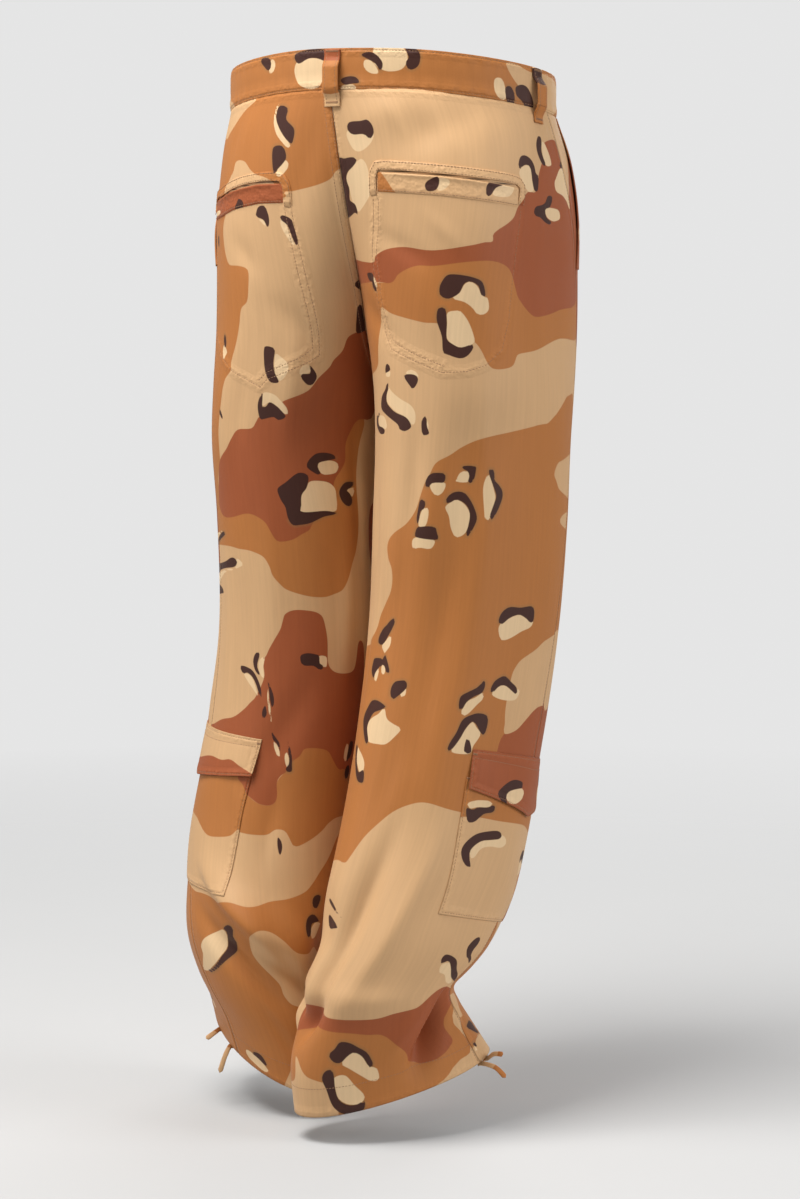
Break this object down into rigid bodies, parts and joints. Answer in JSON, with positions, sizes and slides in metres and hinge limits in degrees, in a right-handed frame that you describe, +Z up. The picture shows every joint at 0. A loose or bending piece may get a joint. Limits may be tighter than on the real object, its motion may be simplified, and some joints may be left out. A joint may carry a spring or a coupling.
{
  "type": "cargo trousers",
  "caption": "Wide-leg cargo trousers in camouflage twill, hollow as worn, with flapped leg pockets, welt back pockets, belt loops and hem ties.",
  "frame": {"origin": "centre of the waist opening, level with the middle of the waistband", "axes": "+Z up, -Y to the wearer's front, +X to the wearer's left"},
  "size_m": [0.3885, 0.3428, 1.0306],
  "materials": {
    "sand_twill": "soft satin cotton twill",
    "brown_twill": "soft satin cotton twill",
    "rust_twill": "soft satin cotton twill",
    "horn_button": "satin horn"
  },
  "bodies": {
    "root": {"back_left": "sand_twill", "back_right": "sand_twill", "front_left": "sand_twill", "front_right": "sand_twill", "back_welt_left": "rust_twill", "back_welt_right": "sand_twill", "front_pocket_edge_left": "brown_twill", "front_pocket_edge_right": "brown_twill", "cargo_pocket_left": "sand_twill", "cargo_pocket_right": "sand_twill", "cargo_flap_left": "sand_twill", "cargo_flap_right": "rust_twill", "fly": "brown_twill", "waistband": "brown_twill", "belt_loop_back": "brown_twill", "belt_loop_left": "brown_twill", "belt_loop_right": "brown_twill", "belt_loop_front_left": "brown_twill", "belt_loop_front_right": "brown_twill", "waist_button": "horn_button", "hem_tie_left_a": "sand_twill", "hem_tie_left_b": "sand_twill", "hem_tie_right_a": "sand_twill", "hem_tie_right_b": "sand_twill"}
  },
  "joints": []
}
